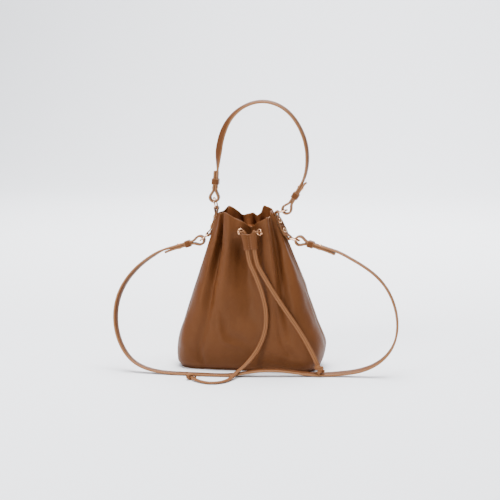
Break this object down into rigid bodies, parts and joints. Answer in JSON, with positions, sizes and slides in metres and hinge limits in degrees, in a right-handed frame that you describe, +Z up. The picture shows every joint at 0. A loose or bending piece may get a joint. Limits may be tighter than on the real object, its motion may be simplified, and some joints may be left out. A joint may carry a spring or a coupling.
{
  "type": "drawstring bucket bag",
  "caption": "Leather bucket bag with a boxy base and drawn pleated neck, a standing top handle, a long shoulder strap on rings and knotted drawstring ends through a slider.",
  "frame": {"origin": "centre of the base, on the surface that the bag stands on", "axes": "+X to the right when the slider is seen from the front, -Y to the front, +Z up"},
  "size_m": [0.4512, 0.1887, 0.4251],
  "materials": {
    "leather_body": "smooth semi-gloss leather",
    "leather_base": "smooth semi-gloss leather",
    "leather_strap": "smooth leather with painted edges",
    "leather_lace": "flat leather lace",
    "leather_trim": "smooth leather with painted edges",
    "base_stiffener": "matt board",
    "pale_gold_metal": "polished pale gold plating"
  },
  "bodies": {
    "bag": {"front_panel": "leather_body", "back_panel": "leather_body", "base_panel": "leather_base", "base_board": "base_stiffener", "drawstring_casing": "leather_body", "drawstring_loop": "leather_lace", "eyelet_left": "pale_gold_metal", "eyelet_washer_left": "pale_gold_metal", "eyelet_right": "pale_gold_metal", "eyelet_washer_right": "pale_gold_metal", "side_tab_left": "leather_trim", "tab_rivets_left": "pale_gold_metal", "rivet_washers_left": "pale_gold_metal", "cord_left": "leather_lace", "knot_left": "leather_lace", "side_tab_right": "leather_trim", "tab_rivets_right": "pale_gold_metal", "rivet_washers_right": "pale_gold_metal", "cord_right": "leather_lace", "knot_right": "leather_lace"},
    "top_handle": {"handle_strap": "leather_strap", "handle_stud_left": "pale_gold_metal", "handle_stud_right": "pale_gold_metal", "ring_upper_left": "pale_gold_metal", "ring_upper_right": "pale_gold_metal"},
    "shoulder_strap": {"long_strap": "leather_strap", "strap_stud_left": "pale_gold_metal", "strap_stud_right": "pale_gold_metal", "ring_lower_left": "pale_gold_metal", "ring_lower_right": "pale_gold_metal"},
    "slider": {"cord_slider": "leather_trim"},
    "handle_keeper_left": {"handle_keeper_left": "leather_trim"},
    "handle_keeper_right": {"handle_keeper_right": "leather_trim"},
    "strap_keeper_left": {"strap_keeper_left": "leather_trim"},
    "strap_keeper_right": {"strap_keeper_right": "leather_trim"}
  },
  "joints": [
    {"name": "handle_swing", "type": "hinge", "parent": "bag", "child": "top_handle", "pos_m": [-0.00871, 0, 0.25112], "axis": [0.9983, 0, -0.059], "range_deg": [-70, 70], "deforming": ["side_tab_left", "side_tab_right"]},
    {"name": "strap_swing", "type": "hinge", "parent": "bag", "child": "shoulder_strap", "pos_m": [-0.00533, 0, 0.21016], "axis": [0.9997, 0, -0.0227], "range_deg": [-140, 0], "deforming": ["cord_left", "cord_right", "knot_left", "knot_right"]},
    {"name": "slider_travel", "type": "slide", "parent": "bag", "child": "slider", "axis": [0.13, -0.06, -0.9897], "range_m": [0, 0.008]},
    {"name": "handle_keeper_left_slide", "type": "slide", "parent": "top_handle", "child": "handle_keeper_left", "axis": [0.08, 0, 0.9968], "range_m": [-0.002, 0.006]},
    {"name": "handle_keeper_right_slide", "type": "slide", "parent": "top_handle", "child": "handle_keeper_right", "axis": [0.5291, 0, 0.8486], "range_m": [-0.002, 0.006]},
    {"name": "strap_keeper_left_slide", "type": "slide", "parent": "shoulder_strap", "child": "strap_keeper_left", "axis": [-0.9493, -0.137, -0.2831], "range_m": [-0.002, 0.006]},
    {"name": "strap_keeper_right_slide", "type": "slide", "parent": "shoulder_strap", "child": "strap_keeper_right", "axis": [0.9585, -0.067, -0.2771], "range_m": [-0.002, 0.006]}
  ]
}
